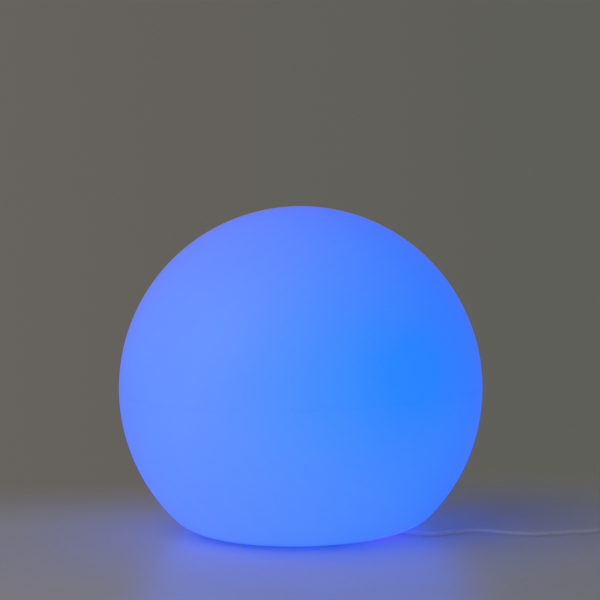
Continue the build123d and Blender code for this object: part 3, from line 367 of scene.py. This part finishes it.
def globe_inside(name):
    """The same polyethylene seen from inside and in the recess: natural white, satin, not the lit face."""
    m = Mat(name)
    flow = m.noise(22.0, 3.0, 0.55, distortion=0.5)
    m.set(Base_Color=m.ramp(flow, [(0.3, (0.70, 0.71, 0.72)), (0.7, (0.80, 0.80, 0.79))]))
    m.set(Roughness=m.span(flow, 0.3, 0.7, 0.45, 0.6), Normal=m.bump(m.noise(300.0, 3.0, 0.5), 0.3, 0.0001))
    return m.m


def glow(name, colour, light, strength, rough=0.4):
    """A lit surface inside the globe, which lights nothing outside it."""
    m = Mat(name)
    m.m.cycles.emission_sampling = "NONE"
    tone = m.noise(120.0, 3.0, 0.5)
    m.set(Base_Color=m.ramp(tone, [(0.3, shade(colour, 0.94)), (0.7, colour)]), Roughness=rough)
    m.set(Emission_Color=m.ramp(tone, [(0.3, shade(light, 0.9)), (0.7, light)]), Emission_Strength=strength)
    return m.m


# ------------------------------------------------------------------ mesh helpers
def mesh_object(name, verts, faces, smooth=True):
    me = bpy.data.meshes.new(name)
    me.from_pydata(verts, [], faces)
    me.validate()
    me.update()
    if smooth:
        me.shade_smooth()
    o = bpy.data.objects.new(name, me)
    scene.collection.objects.link(o)
    return o


def revolved(name, profile, segments):
    """A closed mesh of revolution about Z. The profile starts and ends on the axis."""
    verts, rows = [], []
    for r, z in profile:
        if r < 1e-9:
            rows.append([len(verts)])
            verts.append((0, 0, z))
        else:
            rows.append(list(range(len(verts), len(verts) + segments)))
            for k in range(segments):
                a = 2 * math.pi * k / segments
                verts.append((r * math.cos(a), r * math.sin(a), z))
    faces = []
    for one, two in zip(rows, rows[1:]):
        for k in range(segments):
            j = (k + 1) % segments
            if len(one) == 1:
                faces.append((one[0], two[k], two[j]))
            elif len(two) == 1:
                faces.append((one[k], two[0], one[j]))
            else:
                faces.append((one[k], two[k], two[j], one[j]))
    return mesh_object(name, verts, faces)


def outward(o):
    b = bmesh.new()
    b.from_mesh(o.data)
    bmesh.ops.recalc_face_normals(b, faces=b.faces)
    b.to_mesh(o.data)
    b.free()
    return o


def cut(o, tool, operation="DIFFERENCE"):
    mod = o.modifiers.new("cut", "BOOLEAN")
    mod.operation = operation
    mod.object = tool
    try:
        mod.solver = "MANIFOLD"
    except TypeError:
        mod.solver = "EXACT"
    bpy.context.view_layer.update()
    me = bpy.data.meshes.new_from_object(o.evaluated_get(bpy.context.evaluated_depsgraph_get()))
    o.modifiers.clear()
    old = o.data
    o.data = me
    bpy.data.meshes.remove(old)
    bpy.data.objects.remove(tool)
    return o


def prism(name, outline, p0, axis, up, length):
    """A straight bar with a flat outline, along axis from p0. The outline's x is across, its y along up."""
    axis, up = Vector(axis).normalized(), Vector(up).normalized()
    side = up.cross(axis)
    verts = []
    for s in (0, length):
        for x, y in outline:
            verts.append(tuple(Vector(p0) + side * x + up * y + axis * s))
    n = len(outline)
    faces = [tuple(range(n)), tuple(range(2 * n - 1, n - 1, -1))]
    for k in range(n):
        j = (k + 1) % n
        faces.append((k, k + n, j + n, j))
    return outward(mesh_object(name, verts, faces, smooth=False))


def arch(half, spring, foot, steps=24):
    """Outline of an arch: upright sides from foot to spring, and a half circle."""
    pts = [(-half, foot)]
    for k in range(steps + 1):
        a = math.pi - math.pi * k / steps
        pts.append((half * math.cos(a), spring + half * math.sin(a)))
    pts.append((half, foot))
    return pts


# ------------------------------------------------------------------ globe
BASE_Z, CORNER_R, FLAT_R = 0.002, 0.065, 0.13309
CORNER_Z = BASE_Z + CORNER_R
MEET = math.atan2(CORNER_Z - CENTRE.z, FLAT_R)
WALL, RECESS_R, ROOF_Z, NECK_R = 0.004, 0.098, 0.038, 0.074


def arc(r, z, radius, a0, a1, steps):
    return [(r + radius * math.cos(a0 + (a1 - a0) * k / steps), z + radius * math.sin(a0 + (a1 - a0) * k / steps)) for k in range(steps + 1)]


def globe_mesh(segments=384):
    # outer face: close rows at the parting line, where the two halves of the mould met
    fine = [-7.0, -5.2, -3.8, -2.8, -2.1, -1.6, -1.2, -0.8, -0.4, 0.0, 0.4, 0.8, 1.2, 1.6, 2.1, 2.8, 3.8, 5.2, 7.0]
    low, high = math.asin(-0.007 / R_OUT), math.asin(0.007 / R_OUT)
    angles = [MEET + (low - MEET) * k / 40 for k in range(40)]
    angles += [math.asin(h * MM / R_OUT) for h in fine]
    angles += [high + (math.pi / 2 - high) * k / 88 for k in range(1, 89)]
    outer = [(RECESS_R, BASE_Z), (0.105, BASE_Z), (0.112, BASE_Z), (0.121, BASE_Z), (0.128, BASE_Z)]
    outer += arc(FLAT_R, CORNER_Z, CORNER_R, -math.pi / 2, MEET, 22)[:-1]
    outer += [(R_OUT * math.cos(a), CENTRE.z + R_OUT * math.sin(a)) for a in angles[:-1]] + [(0, CENTRE.z + R_OUT)]
    solid = [(0, ROOF_Z), (NECK_R, ROOF_Z), (RECESS_R, ROOF_Z)] + outer
    o = outward(revolved("globe", solid, segments))
    # the space inside, less the arched wall over the lead's channel
    inner = [
        (0, ROOF_Z - 0.001), (NECK_R, ROOF_Z - 0.001), (NECK_R, ROOF_Z + WALL), (RECESS_R + WALL, ROOF_Z + WALL),
        (RECESS_R + WALL, BASE_Z + WALL),
    ]
    inner += arc(FLAT_R, CORNER_Z, CORNER_R - WALL, -math.pi / 2, MEET, 10)[:-1]
    inner += arc(0, CENTRE.z, R_IN, MEET, math.pi / 2, 40)[:-1] + [(0, CENTRE.z + R_IN)]
    room = outward(revolved("room", inner, 192))
    u = (UX, UY, 0)
    over = prism("over", arch(0.004 + WALL, 0.0036, -0.02), (u[0] * (RECESS_R + 0.001), u[1] * (RECESS_R + 0.001), 0), u, (0, 0, 1), 0.073)
    cut(room, over)
    cut(o, room)
    channel = prism("channel", arch(0.004, 0.0036, -0.02), (u[0] * (RECESS_R - 0.008), u[1] * (RECESS_R - 0.008), 0), u, (0, 0, 1), 0.090)
    cut(o, channel)
    for ring, count, start, r, z0, z1 in ((0.0927, 6, 4.0, 0.0020, ROOF_Z - 0.001, ROOF_Z + WALL + 0.001), (0.117, 4, 19.0, 0.0030, BASE_Z - 0.001, BASE_Z + WALL + 0.001)):
        for k in range(count):
            a = math.radians(start + 360 * k / count)
            hole = [(r * math.cos(2 * math.pi * i / 20), r * math.sin(2 * math.pi * i / 20)) for i in range(20)]
            cut(o, prism("hole", hole, (ring * math.cos(a), ring * math.sin(a), z0), (0, 0, 1), (0, 1, 0), z1 - z0))
    return o


def globe_relief(o):
    """Moves the outer face by tenths of a millimetre: slow ripples of a blown wall, a slight peel, and the trimmed flash of the parting line."""
    me = o.data
    for v in me.vertices:
        d = v.co - CENTRE
        reach = d.length
        if reach < R_OUT - 0.0004 or abs(reach - R_OUT) > 0.0004:
            continue
        n = d / reach
        ripple = noise.noise(n * 3.1 + Vector((4.0, 1.0, 7.0))) * 0.00012 + noise.noise(n * 11.0) * 0.00004
        z = d.z + noise.noise(Vector((n.x * 9, n.y * 9, 2.0))) * 0.00035
        az = math.atan2(d.y, d.x)
        flash = 0.65 + 0.35 * noise.noise(Vector((math.cos(az) * 14, math.sin(az) * 14, 5.0)))
        trimmed = noise.noise(Vector((math.cos(az) * 4.5, math.sin(az) * 4.5, 9.0)))
        if trimmed > 0.15:
            flash *= 0.45
        ridge = max(0.0, 1 - abs(z) / 0.0011) ** 0.8 * 0.00034 * flash
        step = 0.00008 * (1 if z > 0 else -1) * math.exp(-abs(z) / 0.004)
        v.co += n * (ripple + ridge + step)
    me.update()


lit = lit_globe("globe_lit_wall")
inside = globe_inside("globe_inner_wall")
globe = globe_mesh()
globe_relief(globe)
globe.data.materials.clear()
globe.data.materials.append(lit)
globe.data.materials.append(inside)
for f in globe.data.polygons:
    c = f.center
    r = math.hypot(c.x, c.y)
    out = (c - CENTRE).length > 0.2478 and f.normal.dot(c - CENTRE) > 0
    under = c.z < BASE_Z + 0.0003 and f.normal.z < -0.5
    corner = r > FLAT_R and c.z < CORNER_Z and math.hypot(r - FLAT_R, c.z - CORNER_Z) > CORNER_R - 0.0015 and f.normal.z < 0
    along, across = c.x * UX + c.y * UY, abs(c.y * UX - c.x * UY)
    channel = along > RECESS_R + 0.0005 and across < 0.0042 and c.z < 0.0078
    f.material_index = 0 if (out or under or corner or channel) else 1
    f.use_smooth = True
globe.data.set_sharp_from_angle(angle=math.radians(40))
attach(globe, "base")
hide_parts("globe_shell")

# ------------------------------------------------------------------ cord
CORD_D = 0.006


def at(a, b, z):
    return ((a * UX - b * UY) * MM, (a * UY + b * UX) * MM, z * MM)


lead_route = [
    at(59, 0, 12), at(74, 0, 12), at(93, -0.3, 3.4), at(124, 0.4, 3.05),
    (0.147, -0.0700, 0.00305), (0.184, -0.0815, 0.00305), (0.230, -0.0565, 0.00305), (0.273, -0.084, 0.00305),
    (0.313, -0.095, 0.00305), (0.360, -0.0885, 0.00305), (0.406, -0.0775, 0.00305), (0.433, -0.0695, 0.00305),
    (0.4505, -0.0573, 0.00305), (0.4608, -0.0426, 0.0046), (0.465, -0.027, 0.0075), (0.465, -0.013, 0.0075),
]
link_route = [
    (0.465, 0.049, 0.0075), (0.465, 0.062, 0.0075), (0.4648, 0.077, 0.0045), (0.4653, 0.093, 0.00305),
]
tail_route = [(0.5490, 0.100, 0.0070), (0.5450, 0.084, 0.0066), (0.5425, 0.072, 0.00685), (0.5425, 0.060, 0.00685), (0.5425, 0.050, 0.00685)]

COIL = Vector((0.5065, 0.113, 0))
coil_keys = [  # turns wound, distance of the turn from the coil's middle, height; millimetres
    (0.0, 39.5, 3.05), (0.84, 39.6, 3.05), (1.12, 33.5, 3.05), (1.84, 33.4, 3.05), (2.12, 27.5, 3.05), (2.82, 27.6, 3.05),
    (3.12, 30.6, 8.25), (3.84, 30.5, 8.25), (4.12, 36.5, 8.3), (4.84, 36.6, 8.25), (5.12, 33.6, 13.5), (5.96, 33.5, 13.5),
    (6.12, 36.6, 14.2), (6.25, 40.0, 13.0), (6.38, 42.2, 10.6), (6.5, 42.9, 8.4),
]


def keyed(t):
    for (t0, r0, z0), (t1, r1, z1) in zip(coil_keys, coil_keys[1:]):
        if t <= t1:
            s = (t - t0) / (t1 - t0)
            s = s * s * (3 - 2 * s)
            return r0 + (r1 - r0) * s, z0 + (z1 - z0) * s
    return coil_keys[-1][1:]


def coil_route():
    pts, per = [], 20
    for k in range(int(6.5 * per) + 1):
        t = k / per
        r, z = keyed(t)
        a = math.pi - 2 * math.pi * t
        # the cord lies over the tie's strap, and no hand-wound turn is quite round
        z += 0.9 * math.exp(-((math.remainder(a - math.pi / 2, 2 * math.pi)) / 0.2) ** 2) * (1 if z < 12 else 0.6)
        r += 0.35 * noise.noise(Vector((math.cos(a) * 1.3, math.sin(a) * 1.3, t * 0.9)))
        r /= math.cos(math.pi / per)
        pts.append((COIL.x + r * MM * math.cos(a), COIL.y + r * MM * math.sin(a), z * MM))
    return pts


route = lead_route + [(0.465, 0.018, 0.0075)] + link_route + coil_route() + tail_route

curve = bpy.data.curves.new("cord", "CURVE")
curve.dimensions = "3D"
spline = curve.splines.new("NURBS")
spline.points.add(len(route) - 1)
for point, co in zip(spline.points, route):
    point.co = (*co, 1)
spline.order_u = 3
spline.use_endpoint_u = True
curve.resolution_u = 10
curve.bevel_depth = CORD_D / 2
curve.bevel_resolution = 7
curve.use_fill_caps = True
cord = bpy.data.objects.new("cord", curve)
scene.collection.objects.link(cord)
cord.data.materials.append(clear_pvc("cord_clear_sheath"))
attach(cord, "base")
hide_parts("cord_lead", "cord_link", "cord_coil", "cord_tail")


# the two conductors inside the sheath follow the cord's own line, laid side by side with a slow twist
def centre_line():
    bare = bpy.data.objects.new("bare", curve.copy())
    bare.data.bevel_depth = 0
    me = bpy.data.meshes.new_from_object(bare)
    pts = [v.co.copy() for v in me.vertices]
    bpy.data.meshes.remove(me)
    bpy.data.curves.remove(bare.data)
    return pts


def respaced(pts, step):
    lengths = [0.0]
    for a, b in zip(pts, pts[1:]):
        lengths.append(lengths[-1] + (b - a).length)
    out, i = [], 0
    count = max(2, int(lengths[-1] / step))
    for k in range(count + 1):
        s = lengths[-1] * k / count
        while i < len(pts) - 2 and lengths[i + 1] < s:
            i += 1
        f = (s - lengths[i]) / max(lengths[i + 1] - lengths[i], 1e-12)
        out.append(pts[i].lerp(pts[i + 1], min(max(f, 0), 1)))
    return out


line = respaced(centre_line(), 0.0018)
frames = []
up = Vector((0, 0, 1))
for k, p in enumerate(line):
    d = (line[min(k + 1, len(line) - 1)] - line[max(k - 1, 0)]).normalized()
    side = up.cross(d).normalized()
    up = d.cross(side).normalized()
    frames.append((p, side, up))


def strand(name, phase, offset=0.00105, radius=0.00050, pitch=0.90, sides=8):
    verts, faces = [], []
    for k, (p, s, u) in enumerate(frames):
        a = 2 * math.pi * k * 0.0018 / pitch + phase
        c = p + (s * math.cos(a) + u * math.sin(a)) * offset
        for i in range(sides):
            b = 2 * math.pi * i / sides
            verts.append(tuple(c + (s * math.cos(b) + u * math.sin(b)) * radius))
    rings = len(frames)
    for k in range(rings - 1):
        for i in range(sides):
            j = (i + 1) % sides
            faces.append((k * sides + i, k * sides + j, (k + 1) * sides + j, (k + 1) * sides + i))
    faces.append(tuple(range(sides - 1, -1, -1)))
    faces.append(tuple(range((rings - 1) * sides, rings * sides)))
    o = mesh_object(name, verts, faces)
    outward(o)
    o.data.shade_smooth()
    o.data.materials.append(tinned)
    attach(o, "base")
    return o


tinned = strands("conductor_tinned_copper")
core_a = strand("conductor_a", 0.0)
core_b = strand("conductor_b", math.pi)

# ------------------------------------------------------------------ finishes of the construction's own nodes
PLATED = metal("fitting_zinc_steel", (0.62, 0.63, 0.64), 0.32, (1, 1, 1), 500.0)
finishes = {
    "rubber_feet": rubber("foot_rubber", (0.018, 0.018, 0.019)),
    "frame_gasket": foam("gasket_foam", (0.10, 0.10, 0.105)),
    "carrier_gasket": rubber("gasket_rubber", (0.022, 0.022, 0.023)),
    "bayonet_frame": plastic("frame_plastic", (0.66, 0.66, 0.64), 0.46),
    "locking_ring": plastic("ring_plastic", (0.30, 0.31, 0.32), 0.44, 700.0, 0.00009),
    "carrier_plate": plastic("carrier_plastic", (0.62, 0.62, 0.60), 0.48),
    "cord_cover": plastic("cover_plastic", (0.60, 0.60, 0.585), 0.46),
    "cord_clamp": plastic("clamp_plastic", (0.55, 0.55, 0.53), 0.5),
    "strain_relief": rubber("boot_pvc", (0.42, 0.43, 0.43), 0.5),
    "frame_screws": PLATED, "cover_screws": PLATED, "clamp_screws": PLATED, "terminal_screws": PLATED, "switch_screws": PLATED,
    "stem_tube": metal("stem_zinc_steel", (0.58, 0.59, 0.60), 0.34, (1, 1, 30), 160.0),
    "stem_nuts": metal("nut_zinc_steel", (0.60, 0.60, 0.58), 0.38, (30, 30, 1), 60.0),
    "holder_cap": plastic("holder_phenolic_cap", (0.022, 0.021, 0.020), 0.34, 500.0, 0.00005, 0.2, 60.0),
    "holder_skirt": plastic("holder_phenolic_skirt", (0.024, 0.023, 0.022), 0.34, 500.0, 0.00005, 0.2, 60.0),
    "holder_core": ceramic("holder_steatite", (0.78, 0.76, 0.71)),
    "screw_shell": metal("shell_brass", (0.78, 0.58, 0.26), 0.26, (1, 1, 30), 140.0),
    "centre_contact": metal("contact_brass", (0.80, 0.60, 0.28), 0.24, (30, 1, 1), 140.0),
    "switch_contacts": metal("switch_brass", (0.80, 0.60, 0.28), 0.24, (1, 30, 1), 140.0),
    "live_wire": wire_skin("wire_brown", (0.16, 0.055, 0.02)),
    "neutral_wire": wire_skin("wire_blue", (0.02, 0.09, 0.38)),
    "bulb_seal_ring": rubber("seal_silicone", (0.62, 0.62, 0.60), 0.42),
    "bulb_cap": metal("cap_nickel_brass", (0.72, 0.69, 0.62), 0.24, (1, 1, 20), 200.0),
    "bulb_tip": metal("tip_solder", (0.66, 0.66, 0.66), 0.36, (1, 1, 1), 500.0),
    "bulb_insulator": plastic("cap_glass_black", (0.015, 0.012, 0.02), 0.16, 300.0, 0.00003),
    "bulb_housing": plastic("lamp_body_white", (0.80, 0.80, 0.78), 0.36),
    "bulb_board": circuit("board_white_mask", (0.78, 0.79, 0.78), (0.62, 0.63, 0.62)),
    "bulb_driver": circuit("driver_green_mask", (0.02, 0.16, 0.07), (0.05, 0.26, 0.12)),
    "bulb_leds": glow("led_emitters", (0.75, 0.70, 0.30), (0.08, 0.20, 1.0), 3.0),
    "bulb_envelope": glow("envelope_opal_lit", (0.60, 0.64, 0.72), (0.07, 0.22, 1.0), 1.7, 0.35),
    "cord_inner": clear_pvc("cord_clear_inner"),
    "switch_base": plastic("switch_base_plastic", (0.74, 0.745, 0.74), 0.38, 800.0),
    "switch_cover": plastic("switch_cover_plastic", (0.76, 0.765, 0.76), 0.36, 800.0),
    "switch_rocker": plastic("rocker_plastic", (0.80, 0.80, 0.79), 0.36, 900.0, 0.00002),
    "plug_body": plastic("plug_pvc", (0.76, 0.765, 0.76), 0.42, 600.0, 0.00008),
    "plug_pins": metal("pin_nickel", (0.70, 0.69, 0.66), 0.22, (1, 20, 1), 220.0),
    "coil_tie": woven_tie("tie_hook_and_loop", (0.10, 0.10, 0.105)),
}
for name, material in finishes.items():
    me = nodes[name].data
    if not me.materials:
        me.materials.append(material)
    for k in range(len(me.materials)):
        me.materials[k] = material

# ------------------------------------------------------------------ floor
def floor_material():
    m = Mat("studio_floor")
    x, y, z = m.xyz(m.co)
    tone = m.noise(3.0, 4.0, 0.5)
    m.set(Base_Color=m.ramp(tone, [(0.3, (0.51, 0.50, 0.495)), (0.7, (0.54, 0.53, 0.525))]))
    m.set(Roughness=m.span(m.noise(14.0, 3.0, 0.5), 0.3, 0.7, 0.30, 0.36))
    m.set(Normal=m.bump(m.noise(700.0, 2.0, 0.5), 0.05, 0.0001))
    # the floor ends softly behind the globe, where a studio's sweep turns up, and far away on the other sides
    behind = m.span(y, 0.01, 0.49, 1.0, 0.0, smooth=True)
    far = m.span(m.vec("LENGTH", m.co), 1.3, 2.4, 1.0, 0.0, smooth=True)
    keep = m.math("MULTIPLY", behind, far)
    clear = m.t.nodes.new("ShaderNodeBsdfTransparent")
    both = m.t.nodes.new("ShaderNodeMixShader")
    m.link(keep, both.inputs[0])
    m.link(clear.outputs[0], both.inputs[1])
    m.link(m.p.outputs[0], both.inputs[2])
    m.link(both.outputs[0], m.out.inputs[0])
    return m.m


floor = mesh_object("floor", [(-2.5, -2.5, 0), (2.5, -2.5, 0), (2.5, 2.5, 0), (-2.5, 2.5, 0)], [(0, 1, 2, 3)], smooth=False)
floor.data.materials.append(floor_material())

# ------------------------------------------------------------------ world and lights
world = bpy.data.worlds.new("studio")
scene.world = world
world.use_nodes = True
wt = world.node_tree
back = wt.nodes["Background"]
wtc = wt.nodes.new("ShaderNodeTexCoord")
sep = wt.nodes.new("ShaderNodeSeparateXYZ")
wt.links.new(wtc.outputs["Generated"], sep.inputs[0])
mr = wt.nodes.new("ShaderNodeMapRange")
mr.interpolation_type = "SMOOTHSTEP"
wt.links.new(sep.outputs[0], mr.inputs["Value"])
mr.inputs["From Min"].default_value, mr.inputs["From Max"].default_value = -0.25, 0.25
mixed = wt.nodes.new("ShaderNodeMix")
mixed.data_type = "RGBA"
wt.links.new(mr.outputs["Result"], mixed.inputs["Factor"])
cols = [s for s in mixed.inputs if s.type == "RGBA"]
cols[0].default_value = (0.1360, 0.1240, 0.1120, 1)
cols[1].default_value = (0.1100, 0.1120, 0.0980, 1)
wt.links.new([s for s in mixed.outputs if s.type == "RGBA"][0], back.inputs["Color"])
back.inputs["Strength"].default_value = 1.0


def area(name, place, aim, size, power, colour=(1, 1, 1)):
    data = bpy.data.lights.new(name, "AREA")
    data.shape = "RECTANGLE"
    data.size, data.size_y = size
    data.energy = power
    data.color = colour
    o = bpy.data.objects.new(name, data)
    o.location = place
    o.rotation_euler = (Vector(aim) - Vector(place)).to_track_quat("-Z", "Y").to_euler()
    scene.collection.objects.link(o)
    return o


area("key", (-1.15, -0.95, 1.30), (-0.1, -0.25, 0.0), (1.9, 1.9), 12.6, (1.0, 0.97, 0.93))
area("front_fill", (0.9, -1.9, 0.7), (0.1, -0.15, 0.0), (0.8, 0.8), 2.7, (1.0, 0.97, 0.94))
area("back_fill", (0.85, 0.80, 0.40), (0.32, -0.02, 0.0), (0.5, 0.5), 0.85, (1.0, 0.93, 0.90))
spot = bpy.data.lights.new("foot_spot", "SPOT")
spot.energy, spot.color = 3.6, (1.0, 0.60, 0.34)
spot.spot_size, spot.spot_blend, spot.shadow_soft_size = math.radians(9.0), 1.0, 0.05
foot_spot = bpy.data.objects.new("foot_spot", spot)
foot_spot.location = (0.55, -0.95, 0.62)
foot_spot.rotation_euler = (Vector((0.118, -0.124, 0.0)) - foot_spot.location).to_track_quat("-Z", "Y").to_euler()
scene.collection.objects.link(foot_spot)
for o in scene.objects:
    if o.type == "LIGHT":
        o.visible_glossy = False
        o.visible_camera = False

# ------------------------------------------------------------------ camera
cam = bpy.data.cameras.new("camera")
cam.lens = 108.372
cam.sensor_width = 36.0
cam.sensor_fit = "HORIZONTAL"
cam.clip_start, cam.clip_end = 0.05, 50
camera = bpy.data.objects.new("camera", cam)
turn = Matrix.Rotation(math.radians(-0.0318), 4, "Z") @ Matrix.Rotation(math.radians(90 - 4.166), 4, "X") @ Matrix.Rotation(math.radians(-1.10), 4, "Z")
camera.matrix_world = Matrix.Translation((0, -2.48174, 0.49714)) @ turn
scene.collection.objects.link(camera)
scene.camera = camera

scene.view_settings.view_transform = "Standard"
scene.view_settings.look = "None"
scene.view_settings.exposure = 0
scene.view_settings.gamma = 1
